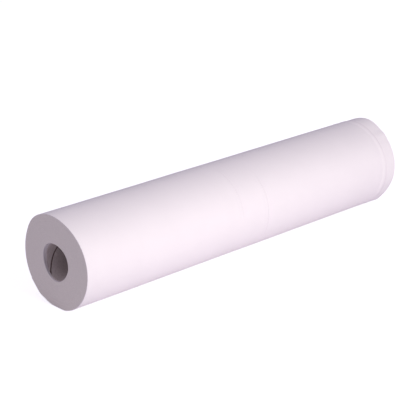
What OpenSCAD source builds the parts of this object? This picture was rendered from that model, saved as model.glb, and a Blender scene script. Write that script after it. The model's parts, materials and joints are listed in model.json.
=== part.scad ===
// Exam table paper roll: soft white paper wound on a cardboard core.
// The roll lies along X on the small flat that its own weight has pressed into it.
// The origin is on the floor, under the middle of the roll, with +Z up.

/* [Paper] */
// Width of the paper, which is the length of the roll
roll_w = 500; // [300:5:700]
// Diameter of the roll as it was wound
roll_d = 107.5; // [90:0.5:140]
// How far out of round the soft roll has gone, each way from that diameter
oval_h = 0.9; // [0:0.1:2]
// Direction in which it is widest, up from level at the back of the roll
oval_angle = 18; // [-90:2:90]
// Width of the flat that the roll lies on
flat_w = 18; // [10:1:34]

/* [Last turns] */
// Step down at the free edge of the paper
tail_h = 0.3; // [0.1:0.05:0.6]
// Direction of the free edge, up from level at the back of the roll
tail_angle = -35; // [-80:5:80]
// How far short of the +X end the outermost turns stop
ledge_w = 18; // [5:1:40]
// Thickness of those outermost turns
ledge_h = 0.45; // [0.2:0.05:1]

/* [Creases] */
// Distance between the two creases, which lie either side of the middle
crease_gap = 40; // [10:1:120]
// Width of a crease
crease_w = 2; // [1:0.5:4]
// Depth of a crease
crease_h = 0.2; // [0.1:0.05:0.4]

/* [Turns at the ends] */
// Turns drawn on each end as one spiral line, each standing for many real ones
turn_count = 8; // [5:1:12]
// Width of the spiral line
turn_line_w = 0.5; // [0.3:0.1:0.8]
// Depth of the spiral line
turn_line_h = 0.5; // [0.2:0.1:1]

/* [Core] */
// Bore of the core
core_bore_d = 40; // [30:1:50]
// Wall of the core
core_wall = 1.2; // [0.8:0.1:2.5]
// How far each end of the core lies inside the paper
core_recess = 2.5; // [1:0.5:10]

/* [Core seam] */
// Length of core in which the seam goes round once
seam_lead = 70; // [50:5:110]
// Width of the seam, measured along the bore's circumference
seam_w = 3; // [1.5:0.5:5]
// Depth of the seam
seam_h = 0.5; // [0.3:0.05:0.6]
// Direction of the seam at the -X end of the core, up from level at the back of the roll
seam_angle = -45; // [-180:5:180]

/* [Hidden] */

// Round surfaces that are exact cylinders
$fn = 96;
// Points in the outline of the oval roll
OUTLINE_POINTS = 120;
// Points along each edge of the turns' line, in each turn of it
LINE_POINTS = 30;
// Slices of the seam in each turn of it, and the sides of its section
SEAM_SLICES = 20;
SEAM_SIDES = 4;
// How far a cutting solid runs past what it cuts
OVER = 1;

// Angle turned from the free edge to direction a
function since_tail(a) = (a - tail_angle + 720) % 360;

// Outer radius in direction a: the oval, with the last turn climbing to the free edge
function outer_r(a) =
    roll_d / 2 + oval_h * cos(2 * (a - oval_angle)) - tail_h * (1 - since_tail(a) / 360);

function polar(a, r) = [r * cos(a), r * sin(a)];

roll_r = roll_d / 2;
widest_r = roll_r + oval_h;

// Height of the roll's axis over the flat, whose edges lie half_flat either side of straight down
half_flat = asin(flat_w / roll_d);
axis_z = min(outer_r(-90 - half_flat), outer_r(-90 + half_flat)) * cos(half_flat);

core_d = core_bore_d + 2 * core_wall;
core_len = roll_w - 2 * core_recess;
seam_len = core_len + 2 * OVER;
seam_turns = seam_len / seam_lead;

// Smallest outer radius at an end, inside the oval, the flat, the free edge and the ledge
end_r = min(axis_z, roll_r - oval_h - tail_h) - ledge_h;
turn_pitch = (end_r - core_d / 2) / (turn_count + 1);

// Outline of the roll, from just past the free edge round to it, taken in by inset
function outline(inset) = [
    for (i = [0:OUTLINE_POINTS])
        let (turned = 360 * i / OUTLINE_POINTS - (i == OUTLINE_POINTS ? 0.001 : 0))
        polar(tail_angle + turned, outer_r(tail_angle + turned) - inset)
];

// Stands children, drawn up from the -X end with Y up, in their place in the roll
module along_roll() {
    translate([-roll_w / 2, 0, axis_z])
        rotate([90, 0, 90])
            children();
}

// Section of the roll with its flat, taken in by inset everywhere but at the flat
module roll_section(inset) {
    intersection() {
        polygon(outline(inset));
        translate([-widest_r, -axis_z])
            square([2 * widest_r, axis_z + widest_r]);
    }
}

// Radius of the turns' line after it has turned by angle a from its start at the core
function line_r(a) = core_d / 2 + turn_pitch * (0.5 + a / 360);

// Spiral line that shows the turns, and ends in line with the free edge
module turn_line() {
    step = 360 / LINE_POINTS;
    last = 360 * turn_count;
    outer_edge = [for (a = [0:step:last]) polar(tail_angle + a, line_r(a) + turn_line_w / 2)];
    inner_edge = [for (a = [last:-step:0]) polar(tail_angle + a, line_r(a) - turn_line_w / 2)];
    polygon(concat(outer_edge, inner_edge));
}

// Band that is cut away round the roll at distance s from the -X end
module crease_cut(s) {
    translate([0, 0, s - crease_w / 2])
        linear_extrude(crease_w)
            difference() {
                circle(r = widest_r + OVER);
                polygon(outline(crease_h));
            }
}

module paper_web() {
    color("#FBF3F8")
        along_roll()
            difference() {
                union() {
                    linear_extrude(roll_w)
                        roll_section(ledge_h);
                    linear_extrude(roll_w - ledge_w)
                        roll_section(0);
                }
                translate([0, 0, -OVER])
                    cylinder(d = core_d, h = roll_w + 2 * OVER);
                for (side = [-1, 1])
                    crease_cut(roll_w / 2 + side * crease_gap / 2);
                translate([0, 0, -OVER])
                    linear_extrude(turn_line_h + OVER)
                        turn_line();
                translate([0, 0, roll_w - turn_line_h])
                    linear_extrude(turn_line_h + OVER)
                        turn_line();
            }
}

// Helical groove where the edges of the innermost ply meet
module seam_cut() {
    half_angle = 180 * seam_w / (PI * core_bore_d);
    inner_r = core_bore_d / 2 - OVER;
    groove_r = core_bore_d / 2 + seam_h;
    slices = ceil(SEAM_SLICES * seam_turns);
    translate([0, 0, -OVER])
        rotate(seam_angle - 360 * OVER / seam_lead)
            linear_extrude(seam_len, twist = -360 * seam_turns, slices = slices, segments = SEAM_SIDES)
                polygon([
                    polar(-half_angle, inner_r),
                    polar(-half_angle, groove_r),
                    polar(half_angle, groove_r),
                    polar(half_angle, inner_r)
                ]);
}

module cardboard_core() {
    color("#A79A92")
        along_roll()
            translate([0, 0, core_recess])
                difference() {
                    cylinder(d = core_d, h = core_len);
                    translate([0, 0, -OVER])
                        cylinder(d = core_bore_d, h = core_len + 2 * OVER);
                    seam_cut();
                }
}

paper_web();
cardboard_core();
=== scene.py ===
"""Looks of an exam table paper roll: soft white paper wound on a cardboard core.

The roll lies along X on the flat that its own weight has pressed into it, with its near end
at -X. Two pieces are dressed here: the wound paper, and the spiral-wound core inside it.
Directions round the roll are given as an angle, in degrees up from level at the front (-Y),
so that 90 is the top and 180 the back. Lengths are in millimetres until a mesh is made.
"""

import json
import logging
import math
from dataclasses import dataclass
from enum import Enum, IntEnum
from typing import Any, Optional, Sequence

import bpy
import numpy as np
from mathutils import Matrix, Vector


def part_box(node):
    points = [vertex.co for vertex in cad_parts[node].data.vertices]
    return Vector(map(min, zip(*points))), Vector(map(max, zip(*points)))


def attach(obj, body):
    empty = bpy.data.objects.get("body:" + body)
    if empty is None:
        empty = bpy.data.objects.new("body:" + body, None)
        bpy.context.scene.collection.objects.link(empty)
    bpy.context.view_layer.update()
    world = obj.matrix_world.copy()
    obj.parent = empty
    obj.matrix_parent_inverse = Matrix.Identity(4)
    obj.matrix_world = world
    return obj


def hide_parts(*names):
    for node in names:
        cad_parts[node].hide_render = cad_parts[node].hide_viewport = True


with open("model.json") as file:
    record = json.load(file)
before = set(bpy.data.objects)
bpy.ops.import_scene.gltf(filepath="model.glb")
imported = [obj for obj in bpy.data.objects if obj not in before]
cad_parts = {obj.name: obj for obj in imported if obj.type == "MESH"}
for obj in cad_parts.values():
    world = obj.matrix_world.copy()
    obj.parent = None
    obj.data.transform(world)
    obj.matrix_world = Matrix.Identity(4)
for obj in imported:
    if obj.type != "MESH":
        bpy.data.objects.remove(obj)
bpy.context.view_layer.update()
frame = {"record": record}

LOG = logging.getLogger("paper_roll")
MM = 0.001
# Points closer than this are one point
WELD_M = 2.0e-6
# Faces that meet at more than this show as a sharp edge
SHARP_ANGLE = 50.0
# Shares of a quarter turn at which a rounded rim has its rows
ROUNDING = (0.0, 0.3, 0.6, 0.85, 1.0)
# Width of one wave of a ring texture at scale 1, in metres
RING_WAVE_M = 2.0 * math.pi / 20.0
# Name of the number that each point of the paper carries: how much painted shade a fold lays on it,
# up to 1
PAINTED_FOLD_SHADE = "painted_fold_shade"
PAPER_NODE = "paper_web"
CORE_NODE = "cardboard_core"
BODY = "root"


def log_piece(piece: bpy.types.Object) -> None:
    """Report a finished piece with its counts of triangles and materials.

    Args:
        piece: The object that was made.
    """
    triangles = sum(len(face.vertices) - 2 for face in piece.data.polygons)
    LOG.info("%s: %d triangles, %d materials", piece.name, triangles, len(piece.data.materials))


def smooth_step(value: np.ndarray) -> np.ndarray:
    """Ease from 0 to 1 as value goes from 0 to 1.

    Args:
        value: Numbers on any range.

    Returns:
        Numbers from 0 to 1, with no slope at either end.
    """
    held = np.clip(value, 0.0, 1.0)
    return held * held * (3.0 - 2.0 * held)


def bump_at(place: np.ndarray, middle: float, reach: float) -> np.ndarray:
    """Rise smoothly to 1 at middle and fall to 0 at reach either side of it.

    Args:
        place: Where along a line.
        middle: Where the rise is highest.
        reach: How far it goes each way.

    Returns:
        Numbers from 0 to 1.
    """
    return smooth_step(1.0 - np.abs(place - middle) / reach)


def turn_from(angle: np.ndarray, middle: float) -> np.ndarray:
    """Give the shortest signed turn from middle to angle.

    Args:
        angle: Directions in degrees.
        middle: The direction to measure from.

    Returns:
        Turns from -180 to 180 degrees.
    """
    return (angle - middle + 180.0) % 360.0 - 180.0


class PaintColour(Enum):
    """The sRGB colours that the finishes and the studio use."""

    TISSUE = "#F8F2F4"
    TISSUE_SHADE = "#F4EEF0"
    # Painted shade along the creases and beneath the far ledge, for the shadow that falls in each
    # fold
    TISSUE_PAINTED_FOLD_SHADE = "#EAE1E5"
    CUT_EDGE = "#F5EFE6"
    CUT_EDGE_LINE = "#E1D9D3"
    # Painted shade: the mouth's tissue is darkened for the shade that falls inside the bore
    MOUTH_TISSUE_PAINTED_SHADE = "#DAD4D4"
    MOUTH_TISSUE_PAINTED_SHADE_CLOUD = "#D3CCCE"
    CHIPBOARD = "#D0C5C1"
    CHIPBOARD_FIBRE = "#AC9F9C"
    CHIPBOARD_EDGE = "#B8ABA8"
    GLUE_LINE = "#6B5A57"
    FLOOR = "#EEEBF4"
    WHITE = "#FFFFFF"
    KEY_LIGHT = "#FDF9F2"
    ROOM_LIGHT = "#F2ECFF"

    def linear(self) -> tuple[float, float, float, float]:
        """Turn the hex value to linear red, green, blue and alpha.

        Returns:
            Four numbers for a colour socket.
        """
        # The sRGB curve is straight near black and a power above that
        channels = [int(self.value[i:i + 2], 16) / 255.0 for i in (1, 3, 5)]
        red, green, blue = (
            c / 12.92 if c <= 0.04045 else ((c + 0.055) / 1.055) ** 2.4 for c in channels
        )
        return red, green, blue, 1.0


class PaperFinish(IntEnum):
    """The places of the wound paper's materials in its list."""

    OUTSIDE = 0
    SAWN_END = 1
    MOUTH = 2


class CoreFinish(IntEnum):
    """The places of the core's materials in its list."""

    WALL = 0
    SEAM = 1
    CUT_END = 2


def add_node(
    tree: bpy.types.NodeTree,
    kind: str,
    settings: Optional[dict[str, Any]] = None,
    links: Optional[dict[Any, bpy.types.NodeSocket]] = None,
) -> bpy.types.Node:
    """Add a shader node, set it and link its inputs.

    Args:
        tree: The node tree to add to.
        kind: The node's type name.
        settings: Values by input name or number, or by property name.
        links: The output socket that feeds each input, by input name or number.

    Returns:
        The new node.
    """
    node = tree.nodes.new(kind)
    for name, value in (settings or {}).items():
        if isinstance(name, str) and hasattr(node, name):
            setattr(node, name, value)
        else:
            node.inputs[name].default_value = value
    for name, socket in (links or {}).items():
        tree.links.new(socket, node.inputs[name])
    return node


def new_material(name: str) -> tuple[bpy.types.Material, bpy.types.NodeTree]:
    """Make an empty node material.

    Args:
        name: The material's name.

    Returns:
        The material and its node tree.
    """
    material = bpy.data.materials.new(name)
    material.use_nodes = True
    material.node_tree.nodes.clear()
    return material, material.node_tree


@dataclass(frozen=True)
class WoundTissue:
    """Soft tissue paper on the outside of the roll, creped on a drying cylinder.

    The crepe is a fine grain of ridges that run along the roll, and it takes the shine off:
    the eye sees a matt white with a slight lilac cast. The copy inside the mouth, where the
    inner turns are glued to the core, is darker: painted shade for the shade in the bore.
    """

    name: str
    face: PaintColour
    shade: PaintColour
    roughness: float = 0.9
    ior: float = 1.46
    specular: float = 0.08
    # Crepe ridges are about 0.4 mm apart, drawn at 0.9 mm so that they show
    ridge_mm: float = 0.9
    ridge_height_mm: float = 0.012
    # Ridges run along the roll, so the grain is drawn out along X
    grain_along: float = 0.12
    # Cloudy patches of thicker and thinner fibre
    cloud_mm: float = 28.0

    def build(self) -> bpy.types.Material:
        """Make the material.

        Returns:
            The finished material.
        """
        material, tree = new_material(self.name)
        place = add_node(tree, "ShaderNodeTexCoord").outputs["Object"]
        cloud = add_node(
            tree,
            "ShaderNodeTexNoise",
            {"Scale": 1.0 / (self.cloud_mm * MM), "Detail": 4.0, "Roughness": 0.55},
            {"Vector": place},
        )
        colour = add_node(
            tree,
            "ShaderNodeMix",
            {"data_type": "RGBA", 6: self.face.linear(), 7: self.shade.linear()},
            {0: cloud.outputs["Fac"]},
        )
        # Darken the colour along the folds with their stored painted shade
        fold = add_node(tree, "ShaderNodeAttribute", {"attribute_name": PAINTED_FOLD_SHADE})
        painted_fold_colour = add_node(
            tree,
            "ShaderNodeMix",
            {"data_type": "RGBA", 7: PaintColour.TISSUE_PAINTED_FOLD_SHADE.linear()},
            {0: fold.outputs["Fac"], 6: colour.outputs[2]},
        )
        along = add_node(
            tree,
            "ShaderNodeMapping",
            {"Scale": (self.grain_along, 1.0, 1.0)},
            {"Vector": place},
        )
        ridges = add_node(
            tree,
            "ShaderNodeTexNoise",
            {"Scale": 1.0 / (self.ridge_mm * MM), "Detail": 3.0, "Roughness": 0.6},
            {"Vector": along.outputs["Vector"]},
        )
        relief = add_node(
            tree,
            "ShaderNodeBump",
            {"Strength": 1.0, "Distance": self.ridge_height_mm * MM},
            {"Height": ridges.outputs["Fac"]},
        )
        surface = add_node(
            tree,
            "ShaderNodeBsdfPrincipled",
            {"Roughness": self.roughness, "IOR": self.ior, "Specular IOR Level": self.specular},
            {"Base Color": painted_fold_colour.outputs[2], "Normal": relief.outputs["Normal"]},
        )
        add_node(tree, "ShaderNodeOutputMaterial", links={"Surface": surface.outputs["BSDF"]})
        return material


@dataclass(frozen=True)
class CutPaperEdge:
    """Cut ends of the turns, sawn across a long log of wound tissue.

    The eye sees a close grain of thin paper edges in rings round the core, a little darker
    than the face of the sheet because light sinks in between the turns.
    """

    centre_z_mm: float
    roughness: float = 0.95
    ior: float = 1.46
    specular: float = 0.15
    # A turn is about 0.16 mm thick, drawn at 0.5 mm so that it shows
    turn_mm: float = 0.5
    fibre_mm: float = 1.4
    turn_height_mm: float = 0.02

    def build(self) -> bpy.types.Material:
        """Make the material.

        Returns:
            The finished material.
        """
        material, tree = new_material("wound_tissue_sawn_end")
        place = add_node(tree, "ShaderNodeTexCoord").outputs["Object"]
        centred = add_node(
            tree,
            "ShaderNodeMapping",
            {"Location": (0.0, 0.0, -self.centre_z_mm * MM)},
            {"Vector": place},
        )
        fibre = add_node(
            tree,
            "ShaderNodeTexNoise",
            {"Scale": 1.0 / (self.fibre_mm * MM), "Detail": 3.0, "Roughness": 0.6},
            {"Vector": place},
        )
        rings = add_node(
            tree,
            "ShaderNodeTexWave",
            {
                "wave_type": "RINGS",
                "rings_direction": "X",
                "Scale": RING_WAVE_M / (self.turn_mm * MM),
                "Distortion": 1.5,
                "Detail": 2.0,
                "Detail Scale": 0.15,
            },
            {"Vector": centred.outputs["Vector"]},
        )
        lines = add_node(
            tree,
            "ShaderNodeMath",
            {"operation": "MULTIPLY"},
            {0: rings.outputs["Fac"], 1: fibre.outputs["Fac"]},
        )
        colour = add_node(
            tree,
            "ShaderNodeMix",
            {
                "data_type": "RGBA",
                6: PaintColour.CUT_EDGE_LINE.linear(),
                7: PaintColour.CUT_EDGE.linear(),
            },
            {0: lines.outputs["Value"]},
        )
        relief = add_node(
            tree,
            "ShaderNodeBump",
            {"Strength": 1.0, "Distance": self.turn_height_mm * MM},
            {"Height": lines.outputs["Value"]},
        )
        surface = add_node(
            tree,
            "ShaderNodeBsdfPrincipled",
            {"Roughness": self.roughness, "IOR": self.ior, "Specular IOR Level": self.specular},
            {"Base Color": colour.outputs[2], "Normal": relief.outputs["Normal"]},
        )
        add_node(tree, "ShaderNodeOutputMaterial", links={"Surface": surface.outputs["BSDF"]})
        return material


@dataclass(frozen=True)
class Chipboard:
    """Grey-brown recycled board, slit into strips and wound in a helix with glue.

    The eye sees a dull flat brown with short darker fibres that follow the strip.
    """

    name: str
    face: PaintColour
    fibre: PaintColour
    roughness: float = 0.88
    ior: float = 1.5
    specular: float = 0.3
    fibre_mm: float = 1.2
    fibre_height_mm: float = 0.03
    # The strips lie across the tube, so fibres are drawn out round it
    fibre_round: float = 0.45
    # The part of the fibre pattern that shows as dark fibres, and how dark it gets
    speckle_from: float = 0.45
    speckle_to: float = 0.72
    speckle_share: float = 0.6
    # Darker and paler patches, and how dark they get
    patch_mm: float = 14.0
    patch_share: float = 0.35

    def build(self) -> bpy.types.Material:
        """Make the material.

        Returns:
            The finished material.
        """
        material, tree = new_material(self.name)
        place = add_node(tree, "ShaderNodeTexCoord").outputs["Object"]
        drawn_out = add_node(
            tree,
            "ShaderNodeMapping",
            {"Scale": (1.0, self.fibre_round, self.fibre_round)},
            {"Vector": place},
        )
        fibres = add_node(
            tree,
            "ShaderNodeTexNoise",
            {"Scale": 1.0 / (self.fibre_mm * MM), "Detail": 5.0, "Roughness": 0.65},
            {"Vector": drawn_out.outputs["Vector"]},
        )
        patches = add_node(
            tree,
            "ShaderNodeTexNoise",
            {"Scale": 1.0 / (self.patch_mm * MM), "Detail": 2.0},
            {"Vector": place},
        )
        speckle = add_node(
            tree,
            "ShaderNodeMapRange",
            {
                "From Min": self.speckle_from,
                "From Max": self.speckle_to,
                "To Min": 0.0,
                "To Max": self.speckle_share,
            },
            {"Value": fibres.outputs["Fac"]},
        )
        cloud = add_node(
            tree,
            "ShaderNodeMath",
            {"operation": "MULTIPLY_ADD", 1: self.patch_share},
            {0: patches.outputs["Fac"], 2: speckle.outputs["Result"]},
        )
        colour = add_node(
            tree,
            "ShaderNodeMix",
            {"data_type": "RGBA", 6: self.face.linear(), 7: self.fibre.linear()},
            {0: cloud.outputs["Value"]},
        )
        relief = add_node(
            tree,
            "ShaderNodeBump",
            {"Strength": 1.0, "Distance": self.fibre_height_mm * MM},
            {"Height": fibres.outputs["Fac"]},
        )
        surface = add_node(
            tree,
            "ShaderNodeBsdfPrincipled",
            {"Roughness": self.roughness, "IOR": self.ior, "Specular IOR Level": self.specular},
            {"Base Color": colour.outputs[2], "Normal": relief.outputs["Normal"]},
        )
        add_node(tree, "ShaderNodeOutputMaterial", links={"Surface": surface.outputs["BSDF"]})
        return material


@dataclass
class MeshSheet:
    """Grids of points that are sewn into one closed mesh."""

    points: list[np.ndarray]
    faces: list[tuple[int, ...]]
    finishes: list[int]

    @classmethod
    def empty(cls) -> "MeshSheet":
        """Start with no points and no faces."""
        return cls([], [], [])

    def add_points(self, points: np.ndarray) -> np.ndarray:
        """Store a grid of points.

        Args:
            points: Rows by columns by 3, in millimetres.

        Returns:
            The number of each point, rows by columns.
        """
        start = sum(len(block) for block in self.points)
        flat = points.reshape(-1, 3)
        self.points.append(flat)
        return np.arange(start, start + len(flat)).reshape(points.shape[:2])

    def add_strip(self, lower: np.ndarray, upper: np.ndarray, finish: int) -> None:
        """Join two rows of points with faces.

        Args:
            lower: Point numbers of one row.
            upper: Point numbers of the next row.
            finish: The material's place in the piece's list.
        """
        for i in range(len(lower) - 1):
            corners = (int(lower[i]), int(lower[i + 1]), int(upper[i + 1]), int(upper[i]))
            self.faces.append(corners)
            self.finishes.append(finish)

    def build(self, name: str, materials: Sequence[bpy.types.Material]) -> bpy.types.Object:
        """Weld the points that coincide and make the object.

        Args:
            name: The object's name.
            materials: The finishes, in the order that the faces number them.

        Returns:
            The new object, with its origin at the frame's.
        """
        points = np.concatenate(self.points) * MM
        keys = np.round(points / WELD_M).astype(np.int64)
        _, first, number = np.unique(keys, axis=0, return_index=True, return_inverse=True)
        number = number.reshape(-1)
        kept_faces: list[tuple[int, ...]] = []
        kept_finishes: list[int] = []
        for corners, finish in zip(self.faces, self.finishes):
            loop = [int(number[c]) for c in corners]
            ring = [c for i, c in enumerate(loop) if c != loop[i - 1]]
            if len(ring) > 2 and len(set(ring)) == len(ring):
                kept_faces.append(tuple(ring))
                kept_finishes.append(finish)
        mesh = bpy.data.meshes.new(name)
        mesh.from_pydata(points[first].tolist(), [], kept_faces)
        mesh.polygons.foreach_set("material_index", kept_finishes)
        mesh.polygons.foreach_set("use_smooth", [True] * len(kept_faces))
        for material in materials:
            mesh.materials.append(material)
        mesh.validate()
        mesh.update()
        mesh.set_sharp_from_angle(angle=math.radians(SHARP_ANGLE))
        piece = bpy.data.objects.new(name, mesh)
        bpy.context.scene.collection.objects.link(piece)
        return piece


@dataclass(frozen=True)
class Ripple:
    """One wave in the roll's outline."""

    lobes: int
    height_mm: float
    direction: float

    def at(self, angle: np.ndarray) -> np.ndarray:
        """Give the wave's height in each direction."""
        return self.height_mm * np.cos(np.radians(self.lobes * (angle - self.direction)))


@dataclass(frozen=True)
class Swell:
    """Soft turns that stand proud at one end, fading out along the roll."""

    middle: float
    reach: float
    height_mm: float
    none_mm: float
    full_mm: float

    def at(self, place: np.ndarray, angle: np.ndarray) -> np.ndarray:
        """Give the swell's height.

        Args:
            place: Distance from the near end, in millimetres.
            angle: Direction round the roll.

        Returns:
            Heights in millimetres.
        """
        along = smooth_step((place - self.none_mm) / (self.full_mm - self.none_mm))
        return self.height_mm * along * bump_at(turn_from(angle, self.middle), 0.0, self.reach)


@dataclass(frozen=True)
class Unevenness:
    """A slow wave along the roll, which soft paper winds up with."""

    height_mm: float
    length_mm: float
    sway: float
    direction: float

    def at(self, place: np.ndarray, angle: np.ndarray) -> np.ndarray:
        """Give the wave's height.

        Args:
            place: Distance from the near end, in millimetres.
            angle: Direction round the roll.

        Returns:
            Heights in millimetres.
        """
        sideways = self.sway * np.sin(np.radians(angle - self.direction))
        return self.height_mm * np.sin(2.0 * math.pi * place / self.length_mm + sideways)


@dataclass(frozen=True)
class LipShape:
    """A fold across the outer turns: a slow rise, a steep fall, and a valley at its foot."""

    rise_mm: float
    fall_mm: float
    valley_mm: float
    # How far before the line the rise starts, and the lengths that each part takes
    rise_before_mm: float
    rise_over_mm: float
    fall_over_mm: float
    valley_reach_mm: float

    def at(self, from_line: np.ndarray) -> np.ndarray:
        """Give the height over the surface before the fold.

        Args:
            from_line: Distance past the middle of the fall, in millimetres.

        Returns:
            Heights in millimetres.
        """
        rise = self.rise_mm * smooth_step((from_line + self.rise_before_mm) / self.rise_over_mm)
        fall = self.fall_mm * smooth_step(from_line / self.fall_over_mm + 0.5)
        valley = self.valley_mm * bump_at(from_line, self.fall_over_mm / 2, self.valley_reach_mm)
        return rise - fall - valley

    def rows(self, drift_mm: float, fine_mm: float, coarse_mm: float) -> np.ndarray:
        """Give the distances from the line at which the fold needs a row.

        Args:
            drift_mm: How far the line strays each way.
            fine_mm: Spacing where the fold is steep.
            coarse_mm: Spacing on the slow rise.

        Returns:
            Distances in millimetres, rising.
        """
        steep = self.fall_over_mm / 2 + self.valley_reach_mm + drift_mm
        slow = np.arange(-self.rise_before_mm - drift_mm, -steep, coarse_mm)
        return np.concatenate([slow, np.arange(-steep, steep + fine_mm, fine_mm)])


def crease_lip(height_mm: float, valley_mm: float) -> LipShape:
    """Give the shape of a crease, which falls as far as it rises."""
    reach = {"rise_before_mm": 5.0, "rise_over_mm": 4.0, "fall_over_mm": 2.4, "valley_reach_mm": 1.8}
    return LipShape(height_mm, height_mm, valley_mm, **reach)


def ledge_lip(rise_mm: float, fall_mm: float, valley_mm: float) -> LipShape:
    """Give the shape of a line where outer turns stop short of the end."""
    reach = {"rise_before_mm": 6.5, "rise_over_mm": 3.6, "fall_over_mm": 2.6, "valley_reach_mm": 1.2}
    return LipShape(rise_mm, fall_mm, valley_mm, **reach)


@dataclass(frozen=True)
class Fold:
    """A line across the outer turns, which runs part of the way round or all of it."""

    place_mm: float
    middle: float
    reach: float
    drift_mm: float
    shape: LipShape
    # How dark the painted shade along the line is, where 1 is the full fold colour, and where past
    # it and how widely
    shade: float
    painted_shade_after_mm: float = 0.9
    painted_shade_reach_mm: float = 1.4
    # Share of the reach over which it fades out
    fade: float = 0.45

    def strength(self, angle: np.ndarray) -> np.ndarray:
        """Give how much of the fold there is in each direction."""
        inside = self.reach - np.abs(turn_from(angle, self.middle))
        return smooth_step(inside / (self.fade * self.reach))

    def from_line(self, place: np.ndarray, angle: np.ndarray) -> np.ndarray:
        """Give the distance past the line, which drifts along the roll as it goes round."""
        return place - self.place_mm - self.drift_mm * np.sin(np.radians(angle - self.middle))

    def at(self, place: np.ndarray, angle: np.ndarray) -> np.ndarray:
        """Give the fold's height over the surface.

        Args:
            place: Distance from the near end, in millimetres.
            angle: Direction round the roll.

        Returns:
            Heights in millimetres.
        """
        return self.strength(angle) * self.shape.at(self.from_line(place, angle))

    def painted_shade_at(self, place: np.ndarray, angle: np.ndarray) -> np.ndarray:
        """Give the painted shade beside the line, which stands in for the shadow in the fold.

        Args:
            place: Distance from the near end, in millimetres.
            angle: Direction round the roll.

        Returns:
            Numbers from 0 to 1.
        """
        line = bump_at(self.from_line(place, angle), self.painted_shade_after_mm, self.painted_shade_reach_mm)
        return self.shade * self.strength(angle) * line


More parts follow.
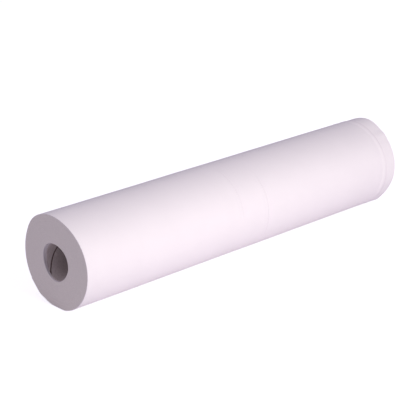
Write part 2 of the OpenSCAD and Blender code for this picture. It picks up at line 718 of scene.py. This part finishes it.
@dataclass
class WoundPaper:
    """The wound paper: its outside, both sawn ends and the mouth round the core."""

    width_mm: float
    axis_z_mm: float
    mouth_r_mm: float
    # How deep the core's ends lie, and how far the near one strays from that round the mouth
    core_recess_mm: float
    core_cut: tuple[Ripple, ...]
    # Mean radius without the free edge, from the outline of the near end
    mean_r_mm: float = 53.57
    # How far out of round the soft roll has gone: lobes, height and direction
    ripples: tuple[Ripple, ...] = (
        Ripple(2, 0.79, -19.0),
        Ripple(3, 0.45, 7.6),
        Ripple(4, 0.45, 29.6),
    )
    # Direction, reach, height, and the places along the roll where a swell is none and full
    swells: tuple[Swell, ...] = (
        Swell(135.0, 22.0, 0.7, 140.0, 0.0),
        Swell(236.0, 10.0, 0.9, 120.0, 0.0),
        Swell(83.0, 37.0, 3.6, 462.0, 500.0),
        Swell(52.0, 10.0, 1.1, 470.0, 500.0),
        Swell(27.0, 14.0, -0.5, 470.0, 500.0),
        Swell(-10.0, 18.0, 0.6, 470.0, 500.0),
        Swell(-57.0, 14.0, 1.3, 470.0, 500.0),
    )
    # Height, length, sway and direction of each slow wave
    uneven: tuple[Unevenness, ...] = (
        Unevenness(0.05, 195.0, 2.0, 0.0),
        Unevenness(0.04, 107.0, 3.0, 60.0),
    )
    # The turns have slipped towards the far end at the top, and back from it underneath
    slip_mm: float = 4.0
    slip_power: float = 6.0
    # Softness of the bend at the edges of the flat
    flat_bend_mm: float = 0.25
    # Only directions that point down by more than this share meet the flat
    flat_down: float = 0.5
    # The free edge lies low at the back, and its last few degrees lift
    tail_angle: float = 215.0
    tail_mm: float = 0.3
    tail_lift_mm: float = 0.25
    tail_lift_reach: float = 8.0
    # Two creases near the middle, two lines all the way round where outer turns stop short of
    # the far end, and the ridge that stands before the second of them at the front: place along
    # the roll, direction, reach, drift, shape, and painted shade for the shadow along each line
    folds: tuple[Fold, ...] = (
        Fold(228.9, 44.0, 46.0, 2.0, crease_lip(0.30, 0.25), shade=0.30),
        Fold(268.7, 9.0, 62.0, -0.2, crease_lip(0.45, 0.35), shade=0.50, fade=0.8),
        Fold(471.5, 0.0, 400.0, 1.5, ledge_lip(0.15, 0.25, 0.0), shade=0.0),
        Fold(481.8, 0.0, 400.0, 0.3, ledge_lip(0.0, 0.45, 0.0), shade=0.0),
        Fold(
            481.8, 30.0, 95.0, 0.3, ledge_lip(1.0, 1.0, 0.15),
            shade=0.6, painted_shade_after_mm=1.2, painted_shade_reach_mm=2.3,
        ),
    )
    # The mouth's edge has gone a little three-cornered, down to a small depth or to the core
    mouth_waves: tuple[Ripple, ...] = (Ripple(1, 0.3, 85.0), Ripple(3, 0.7, 18.6))
    mouth_wave_mm: float = 4.0
    # Radius of the rounding at the rims and at the mouth
    rim_mm: float = 0.45
    mouth_round_mm: float = 0.3
    # Plain ring between a rim's rounding and the turns
    rim_band_mm: float = 0.35
    # Turns that show on an end, each standing for about eight real ones
    shown_turns: int = 24
    groove_half_mm: float = 0.14
    groove_mm: float = 0.09
    # Some turns were cut deeper than others: the middle share, its swing, and radians a turn
    cut_middle: float = 0.55
    cut_swing: float = 0.45
    cut_beat: float = 2.4
    # Columns round the roll, plain rows along it, and the spacing of rows in and before a fold
    columns: int = 288
    plain_rows: int = 50
    fine_row_mm: float = 0.3
    rise_row_mm: float = 1.0
    # Rows closer than this share of the fine spacing are one
    row_gap_share: float = 0.6
    # Radii of the rim's rounding before the first plain row
    rim_margin: float = 4.0
    # How far the paper is drawn into the bore, where the core hides the rest
    mouth_shown_mm: float = 6.0
    mouth_rows_count: int = 4

    def column_turns(self) -> np.ndarray:
        """Give the turn at each column, both sides of the free edge included."""
        return np.linspace(0.0, 360.0, self.columns + 1)

    def soft_r(self, place: np.ndarray, angle: np.ndarray) -> np.ndarray:
        """Give the radius of the soft roll without its free edge, creases and ledges.

        Args:
            place: Distance from the near end, in millimetres.
            angle: Direction round the roll.

        Returns:
            Radii in millimetres.
        """
        waves = sum(ripple.at(angle) for ripple in self.ripples)
        swollen = sum(swell.at(place, angle) for swell in self.swells)
        return self.mean_r_mm - self.tail_mm / 2 + waves + swollen

    def pressed(self, radius: np.ndarray, angle: np.ndarray) -> np.ndarray:
        """Cut radii off at the flat that the roll lies on, with a soft bend at its edges.

        Args:
            radius: Radii in millimetres.
            angle: Direction round the roll.

        Returns:
            Radii that stay over the floor.
        """
        down = np.maximum(-np.sin(np.radians(angle)), self.flat_down)
        flat = self.axis_z_mm / down
        return flat - self.flat_bend_mm * np.log1p(np.exp((flat - radius) / self.flat_bend_mm))

    def outside(self, place: np.ndarray, turned: np.ndarray) -> np.ndarray:
        """Give the radius of the outermost turn with everything that shows on it.

        Args:
            place: Distance from the near end, in millimetres.
            turned: Turn wound since the free edge's start, in degrees.

        Returns:
            Radii in millimetres.
        """
        angle = self.tail_angle - turned
        lift = self.tail_lift_mm * smooth_step((turned - 360.0) / self.tail_lift_reach + 1.0)
        details = self.folds + self.uneven
        relief = sum(detail.at(place, angle) for detail in details)
        climb = self.tail_mm * turned / 360.0
        return self.pressed(self.soft_r(place, angle) + climb + lift + relief, angle)

    def place_rows(self) -> np.ndarray:
        """Give the rows along the roll, close together where the surface bends.

        Returns:
            Distances from the near end, rising.
        """
        margin = self.rim_margin * self.rim_mm
        rows = [np.linspace(margin, self.width_mm - margin, self.plain_rows)]
        for fold in self.folds:
            drift = abs(fold.drift_mm)
            rows.append(fold.place_mm + fold.shape.rows(drift, self.fine_row_mm, self.rise_row_mm))
        merged = np.sort(np.concatenate(rows))
        keep = np.concatenate([[True], np.diff(merged) > self.row_gap_share * self.fine_row_mm])
        return merged[keep]

    def mouth_r(self, share: np.ndarray, angle: np.ndarray) -> np.ndarray:
        """Give the bore's radius.

        Args:
            share: Share of the way from the mouth's edge to where the bore is round.
            angle: Direction round the roll.

        Returns:
            Radii in millimetres.
        """
        fade = 1.0 - smooth_step(share)
        return self.mouth_r_mm + fade * sum(wave.at(angle) for wave in self.mouth_waves)

    def slip(self, place: float | np.ndarray, rise: np.ndarray) -> np.ndarray:
        """Give how far the turns have slipped towards the far end.

        Args:
            place: Distance from the near end, before the turns slipped.
            rise: Height over the axis.

        Returns:
            Distances in millimetres.
        """
        return self.slip_mm * rise / self.mean_r_mm * (place / self.width_mm) ** self.slip_power

    def lip_depth(self, angle: np.ndarray, far: bool) -> np.ndarray:
        """Give how deep a mouth is out of round, which ends where the core starts.

        Args:
            angle: Direction round the roll.
            far: Whether this is the far end's mouth.

        Returns:
            Depths in millimetres.
        """
        if far:
            more = self.slip(self.width_mm, self.mouth_r_mm * np.sin(np.radians(angle)))
        else:
            more = sum(wave.at(angle) for wave in self.core_cut)
        return np.minimum(self.core_recess_mm + more, self.mouth_wave_mm)

    def ring(self, place: float | np.ndarray, angle: np.ndarray, radius: np.ndarray) -> np.ndarray:
        """Give points round the roll.

        Args:
            place: Distance from the near end, before the turns slipped.
            angle: Direction of each point.
            radius: Distance of each point from the axis.

        Returns:
            One row of points in millimetres.
        """
        turn = np.radians(angle)
        rise = radius * np.sin(turn)
        along = place + self.slip(place, rise) - self.width_mm / 2
        return np.stack([along, -radius * np.cos(turn), self.axis_z_mm + rise], axis=-1)

    def side_rows(self) -> list[np.ndarray]:
        """Give the rows of points over the outside, rounded in at both rims.

        Returns:
            Rows of points from the near end to the far end.
        """
        turned = self.column_turns()
        angle = self.tail_angle - turned
        quarter = np.array(ROUNDING) * math.pi / 2
        depth = self.rim_mm * (1.0 - np.cos(quarter))
        inset = self.rim_mm * (1.0 - np.sin(quarter))
        near = list(zip(depth, inset))
        middle = [(row, 0.0) for row in self.place_rows()]
        far = [(self.width_mm - d, i) for d, i in reversed(near)]
        return [
            self.ring(place, angle, self.outside(place, turned) - taken_in)
            for place, taken_in in near + middle + far
        ]

    def end_rows(self, place: float, inward: float) -> list[np.ndarray]:
        """Give the rows over a sawn end, which follow the turns in one spiral.

        Args:
            place: Distance of the end from the near end.
            inward: The sign of the way into the roll.

        Returns:
            Rows of points from the mouth to the rim.
        """
        turned = self.column_turns()
        angle = self.tail_angle - turned
        relief = sum(fold.at(np.full_like(angle, place), angle) for fold in self.folds)
        rim_r = self.pressed(self.soft_r(place, angle) + relief, angle)
        edge_r = rim_r - self.rim_mm - self.rim_band_mm
        start_r = self.mouth_r(np.zeros_like(angle), angle) + self.mouth_round_mm
        pitch = (edge_r - start_r) / self.shown_turns
        rows: list[np.ndarray] = []
        for turn in range(self.shown_turns + 1):
            # The spiral starts half a turn inside the mouth's edge
            wound = turn - 0.5 + turned / 360.0
            share = self.cut_middle + self.cut_swing * np.sin(self.cut_beat * wound + place)
            cut = self.groove_mm * share
            for side in (-1.0, 0.0, 1.0):
                radius = start_r + wound * pitch + side * self.groove_half_mm
                held = np.clip(radius, start_r, edge_r)
                depth = np.where((held == radius) & (side == 0.0), cut, 0.0)
                rows.append(self.ring(place + inward * depth, angle, held))
        mouth = self.ring(place, angle, start_r)
        rim = self.ring(place, angle, edge_r)
        return [mouth] + rows + [rim]

    def mouth_rows(self, far: bool) -> list[np.ndarray]:
        """Give the rows into the bore from one end, rounded out at the mouth.

        Args:
            far: Whether this is the far end's mouth.

        Returns:
            Rows of points from the edge inwards.
        """
        angle = self.tail_angle - self.column_turns()
        lip = self.lip_depth(angle, far)
        quarter = np.array(ROUNDING) * math.pi / 2
        shares = np.linspace(0.0, 1.0, self.mouth_rows_count + 1)[1:]
        depths = [np.full_like(angle, d) for d in self.mouth_round_mm * (1.0 - np.cos(quarter))]
        depths += [self.mouth_round_mm + share * (lip - self.mouth_round_mm) for share in shares]
        depths.append(np.full_like(angle, self.mouth_shown_mm))
        added = np.zeros(len(depths))
        added[:len(quarter)] = self.mouth_round_mm * (1.0 - np.sin(quarter))
        places = [self.width_mm - depth if far else depth for depth in depths]
        radii = [self.mouth_r(depth / lip, angle) + more for depth, more in zip(depths, added)]
        return [self.ring(place, angle, radius) for place, radius in zip(places, radii)]

    def build(self, materials: Sequence[bpy.types.Material]) -> bpy.types.Object:
        """Sew the outside, the ends and the mouth into one closed piece.

        Args:
            materials: The finishes, in the order of PaperFinish.

        Returns:
            The finished piece.
        """
        sheet = MeshSheet.empty()
        side = sheet.add_points(np.stack(self.side_rows()))
        near = sheet.add_points(np.stack(self.end_rows(0.0, 1.0)))
        far = sheet.add_points(np.stack(self.end_rows(self.width_mm, -1.0)))
        mouths = self.mouth_rows(far=False) + self.mouth_rows(far=True)[::-1]
        bore = sheet.add_points(np.stack(mouths))
        # A row on the outside runs on past the free edge to its own start
        side = np.concatenate([side, side[:, :1]], axis=1)
        near_rim = np.append(near[-1], near[-1][0])
        far_rim = np.append(far[-1], far[-1][0])
        for lower, upper in zip(side[:-1], side[1:]):
            sheet.add_strip(lower, upper, PaperFinish.OUTSIDE)
        for lower, upper in zip(near[:-1], near[1:]):
            sheet.add_strip(upper, lower, PaperFinish.SAWN_END)
        for lower, upper in zip(far[:-1], far[1:]):
            sheet.add_strip(lower, upper, PaperFinish.SAWN_END)
        for lower, upper in zip(bore[:-1], bore[1:]):
            sheet.add_strip(upper, lower, PaperFinish.MOUTH)
        sheet.add_strip(side[0], near_rim, PaperFinish.SAWN_END)
        sheet.add_strip(far_rim, side[-1], PaperFinish.SAWN_END)
        wound = sheet.build("wound_paper", materials)
        self.store_painted_fold_shade(wound)
        return wound

    def store_painted_fold_shade(self, wound: bpy.types.Object) -> None:
        """Store the folds' painted shade at each point of the paper, for the tissue to read.

        Args:
            wound: The finished piece.
        """
        mesh = wound.data
        flat = np.empty(3 * len(mesh.vertices))
        mesh.vertices.foreach_get("co", flat)
        x, y, z = flat.reshape(-1, 3).T / MM
        angle = np.degrees(np.arctan2(z - self.axis_z_mm, -y))
        # Painted shade of all the folds, for the shadow in each
        shade = sum(fold.painted_shade_at(x + self.width_mm / 2, angle) for fold in self.folds)
        stored = mesh.attributes.new(PAINTED_FOLD_SHADE, "FLOAT", "POINT")
        stored.data.foreach_set("value", shade)


@dataclass
class SpiralCore:
    """The cardboard tube, wound in a helix from strips that meet at a dark seam."""

    start_mm: float
    end_mm: float
    axis_z_mm: float
    bore_r_mm: float
    outer_r_mm: float
    paper_w_mm: float
    # The near end was sawn out of square and unevenly, the far end square
    cut: tuple[Ripple, ...]
    # Length of tube in which the seam goes round once
    lead_mm: float = 70.0
    # Direction of the seam at a place inside the near end
    seam_angle: float = 190.0
    seam_place_mm: float = 10.8
    seam_half_angle: float = 5.6
    seam_wall_angle: float = 0.6
    seam_mm: float = 0.5
    # The ply's edge curls up a little before the seam
    curl_mm: float = 0.12
    curl_angle: float = 5.0
    wall_gap_mm: float = 0.03
    columns: int = 72
    row_mm: float = 1.2

    def seam_direction(self, place: float) -> float:
        """Give the direction of the seam at a place along the tube."""
        return self.seam_angle - 360.0 * (place - self.seam_place_mm) / self.lead_mm

    def strayed(self, place: float, angle: np.ndarray | float) -> np.ndarray | float:
        """Give how far a row lies past its place: all of the cut at the near end, none at the far.

        Args:
            place: Distance of the row from the roll's near end.
            angle: Direction of each point.

        Returns:
            Distances along the tube, in millimetres.
        """
        share = (self.end_mm - place) / (self.end_mm - self.start_mm)
        return share * sum(wave.at(angle) for wave in self.cut)

    def angles(self, place: float) -> np.ndarray:
        """Give the direction of each column in one row.

        Args:
            place: Distance of the row from the roll's near end.

        Returns:
            Directions in degrees: the seam's four edges, then the plain wall round to the first.
        """
        middle = self.seam_direction(place + self.strayed(place, self.seam_direction(place)))
        inner, outer = self.seam_half_angle, self.seam_half_angle + self.seam_wall_angle
        edges = np.array([-outer, -inner, inner, outer])
        curled = outer + self.curl_angle
        plain = np.linspace(curled, 360.0 - outer - self.curl_angle, self.columns - len(edges))
        return middle + np.concatenate([edges, plain, [360.0 - outer]])

    def depth(self) -> np.ndarray:
        """Give how deep the bore is cut at each column.

        Returns:
            Depths in millimetres: the seam's floor, the plain wall, and the curled edge at both
            ends of the row.
        """
        depth = np.zeros(self.columns + 1)
        depth[1:3] = self.seam_mm
        depth[[0, -1]] = -self.curl_mm
        return depth

    def ring(self, place: float, radius: np.ndarray) -> np.ndarray:
        """Give one row of points round the tube.

        Args:
            place: Distance from the roll's near end.
            radius: Distance from the axis at each column.

        Returns:
            Points in millimetres.
        """
        angle = self.angles(place)
        turn = np.radians(angle)
        along = place + self.strayed(place, angle) - self.paper_w_mm / 2
        rise = radius * np.sin(turn)
        return np.stack([along, -radius * np.cos(turn), self.axis_z_mm + rise], axis=-1)

    def build(self, materials: Sequence[bpy.types.Material]) -> bpy.types.Object:
        """Make the tube.

        Args:
            materials: The finishes, in the order of CoreFinish.

        Returns:
            The finished piece.
        """
        count = int(round((self.end_mm - self.start_mm) / self.row_mm))
        places = np.linspace(self.start_mm, self.end_mm, count + 1)
        bore = self.bore_r_mm + self.depth()
        outside = np.full(self.columns + 1, self.outer_r_mm - self.wall_gap_mm)
        sheet = MeshSheet.empty()
        inner = sheet.add_points(np.stack([self.ring(place, bore) for place in places]))
        outer = sheet.add_points(np.stack([self.ring(places[i], outside) for i in (0, -1)]))
        # The first four columns bound the seam, and the wall runs on from the last of them
        for lower, upper in zip(inner[:-1], inner[1:]):
            sheet.add_strip(lower[3:], upper[3:], CoreFinish.WALL)
            sheet.add_strip(lower[:4], upper[:4], CoreFinish.SEAM)
        sheet.add_strip(outer[1], outer[0], CoreFinish.WALL)
        sheet.add_strip(outer[0], inner[0], CoreFinish.CUT_END)
        sheet.add_strip(inner[-1], outer[-1], CoreFinish.CUT_END)
        return sheet.build("spiral_core", materials)


@dataclass(frozen=True)
class Studio:
    """A plain white studio: floor, key light, soft room light and the camera."""

    # The camera's place and aim, from the lines of the roll in the photograph
    camera_mm: tuple[float, float, float] = (-1075.3, -1101.3, 626.0)
    sight: tuple[float, float, float] = (0.6459, 0.6783, -0.3503)
    lens_mm: float = 120.8
    sensor_mm: float = 36.0
    floor_m: float = 8.0
    # The key lamp is an upright strip, low in front of the roll's near half
    key_distance_m: float = 1.2
    key_height_angle: float = 23.0
    key_along_m: float = -0.12
    key_width_m: float = 0.24
    key_tall_m: float = 0.6
    key_watts: float = 7.85
    room_strength: float = 0.503
    # White that the camera sees over the floor's own paint, where 1 is plain white
    floor_white: float = 0.66

    def background_rays(self, tree: bpy.types.NodeTree) -> bpy.types.NodeSocket:
        """Give 1 to rays that see the background, straight or through gloss or glass.

        Args:
            tree: The node tree to add to.

        Returns:
            The socket with 1 for such a ray and 0 for any other.
        """
        ray = add_node(tree, "ShaderNodeLightPath")
        bent = add_node(
            tree,
            "ShaderNodeMath",
            {"operation": "MAXIMUM"},
            {0: ray.outputs["Is Glossy Ray"], 1: ray.outputs["Is Transmission Ray"]},
        )
        seen = add_node(
            tree,
            "ShaderNodeMath",
            {"operation": "MAXIMUM"},
            {0: ray.outputs["Is Camera Ray"], 1: bent.outputs["Value"]},
        )
        return seen.outputs["Value"]

    def build_floor(self) -> bpy.types.Object:
        """Lay a pale floor that keeps the roll's shadow.

        Returns:
            The floor.
        """
        half = self.floor_m / 2
        mesh = bpy.data.meshes.new("floor")
        corners = [(-half, -half, 0.0), (half, -half, 0.0), (half, half, 0.0), (-half, half, 0.0)]
        mesh.from_pydata(corners, [], [(0, 1, 2, 3)])
        material, tree = new_material("painted_studio_floor")
        paint = add_node(tree, "ShaderNodeBsdfDiffuse", {"Color": PaintColour.FLOOR.linear()})
        share = add_node(
            tree,
            "ShaderNodeMath",
            {"operation": "MULTIPLY", 1: self.floor_white},
            {0: self.background_rays(tree)},
        )
        glow = add_node(
            tree,
            "ShaderNodeEmission",
            {"Color": PaintColour.WHITE.linear()},
            {"Strength": share.outputs["Value"]},
        )
        both = add_node(
            tree,
            "ShaderNodeAddShader",
            links={0: paint.outputs["BSDF"], 1: glow.outputs["Emission"]},
        )
        add_node(tree, "ShaderNodeOutputMaterial", links={"Surface": both.outputs["Shader"]})
        mesh.materials.append(material)
        floor = bpy.data.objects.new("floor", mesh)
        bpy.context.scene.collection.objects.link(floor)
        return floor

    def build_room_light(self) -> None:
        """Light the roll evenly from all round, and show white behind it."""
        world = bpy.data.worlds.new("studio_room")
        world.use_nodes = True
        tree = world.node_tree
        tree.nodes.clear()
        room = add_node(
            tree,
            "ShaderNodeBackground",
            {"Color": PaintColour.ROOM_LIGHT.linear(), "Strength": self.room_strength},
        )
        white = add_node(
            tree, "ShaderNodeBackground", {"Color": PaintColour.WHITE.linear(), "Strength": 1.0}
        )
        mixed = add_node(
            tree,
            "ShaderNodeMixShader",
            links={
                0: self.background_rays(tree),
                1: room.outputs["Background"],
                2: white.outputs["Background"],
            },
        )
        add_node(tree, "ShaderNodeOutputWorld", links={"Surface": mixed.outputs["Shader"]})
        bpy.context.scene.world = world

    def build_key_light(self, target: Vector) -> bpy.types.Object:
        """Stand the key lamp low in front of the roll.

        Args:
            target: The point that the lamp faces.

        Returns:
            The lamp.
        """
        lamp = bpy.data.lights.new("key_lamp", "AREA")
        lamp.shape = "RECTANGLE"
        lamp.size = self.key_width_m
        lamp.size_y = self.key_tall_m
        lamp.energy = self.key_watts
        lamp.color = PaintColour.KEY_LIGHT.linear()[:3]
        holder = bpy.data.objects.new("key_lamp", lamp)
        rise = math.radians(self.key_height_angle)
        away = Vector((0.0, -math.cos(rise), math.sin(rise))) * self.key_distance_m
        holder.location = Vector((self.key_along_m, target.y, target.z)) + away
        holder.rotation_euler = (-away).to_track_quat("-Z", "Y").to_euler()
        bpy.context.scene.collection.objects.link(holder)
        return holder

    def build_camera(self) -> bpy.types.Object:
        """Set the camera at the photograph's viewing angle.

        Returns:
            The camera.
        """
        data = bpy.data.cameras.new("camera")
        data.sensor_width = self.sensor_mm
        data.lens = self.lens_mm
        data.clip_start = 0.01
        data.clip_end = 50.0
        camera = bpy.data.objects.new("camera", data)
        camera.location = Vector(self.camera_mm) * MM
        camera.rotation_euler = Vector(self.sight).to_track_quat("-Z", "Y").to_euler()
        bpy.context.scene.collection.objects.link(camera)
        bpy.context.scene.camera = camera
        return camera


def read_frame() -> tuple[WoundPaper, SpiralCore]:
    """Take the two pieces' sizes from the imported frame.

    Returns:
        The wound paper and the core, ready to be built.
    """
    mounts = {mount["name"]: mount for mount in frame["record"]["mounts"]}
    bore = mounts["core_bore"]
    axis_z = bore["pos_m"][2] / MM
    paper_low, paper_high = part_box(PAPER_NODE)
    core_low, core_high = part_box(CORE_NODE)
    width = (paper_high[0] - paper_low[0]) / MM
    outer_r = (core_high[1] - core_low[1]) / 2 / MM
    recess = (core_low[0] - paper_low[0]) / MM
    # The cut of the core's near end lies deepest at the back of the mouth
    core_cut = (Ripple(1, 1.75, 145.0), Ripple(2, 0.4, -10.0), Ripple(3, 0.35, -40.0))
    paper = WoundPaper(width, axis_z, outer_r, recess, core_cut)
    core = SpiralCore(
        start_mm=recess,
        end_mm=(core_high[0] - paper_low[0]) / MM,
        axis_z_mm=axis_z,
        bore_r_mm=bore["dims"]["r_mm"],
        outer_r_mm=outer_r,
        paper_w_mm=width,
        cut=core_cut,
    )
    return paper, core


def main() -> None:
    """Build the roll and its studio."""
    logging.basicConfig(level=logging.INFO, format="%(name)s: %(message)s")
    bpy.context.scene.view_settings.view_transform = "Standard"
    paper, core = read_frame()

    paint = PaintColour
    tissue = WoundTissue("wound_tissue_creped", paint.TISSUE, paint.TISSUE_SHADE).build()
    sawn = CutPaperEdge(centre_z_mm=paper.axis_z_mm).build()
    # The mouth's tissue is a darker copy: painted shade for the shade inside the bore
    mouth_painted_shade = WoundTissue("wound_tissue_mouth_painted_shade", paint.MOUTH_TISSUE_PAINTED_SHADE, paint.MOUTH_TISSUE_PAINTED_SHADE_CLOUD).build()
    wound = paper.build([tissue, sawn, mouth_painted_shade])
    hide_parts(PAPER_NODE)
    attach(wound, BODY)
    log_piece(wound)

    wall = Chipboard("chipboard_wound", paint.CHIPBOARD, paint.CHIPBOARD_FIBRE).build()
    seam = Chipboard("chipboard_seam_glued", paint.GLUE_LINE, paint.GLUE_LINE).build()
    edge = Chipboard("chipboard_cut_end", paint.CHIPBOARD_EDGE, paint.CHIPBOARD_FIBRE).build()
    tube = core.build([wall, seam, edge])
    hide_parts(CORE_NODE)
    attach(tube, BODY)
    log_piece(tube)

    studio = Studio()
    studio.build_floor()
    studio.build_room_light()
    studio.build_key_light(Vector((0.0, 0.0, paper.axis_z_mm * MM)))
    studio.build_camera()


if __name__ == "__main__":
    main()
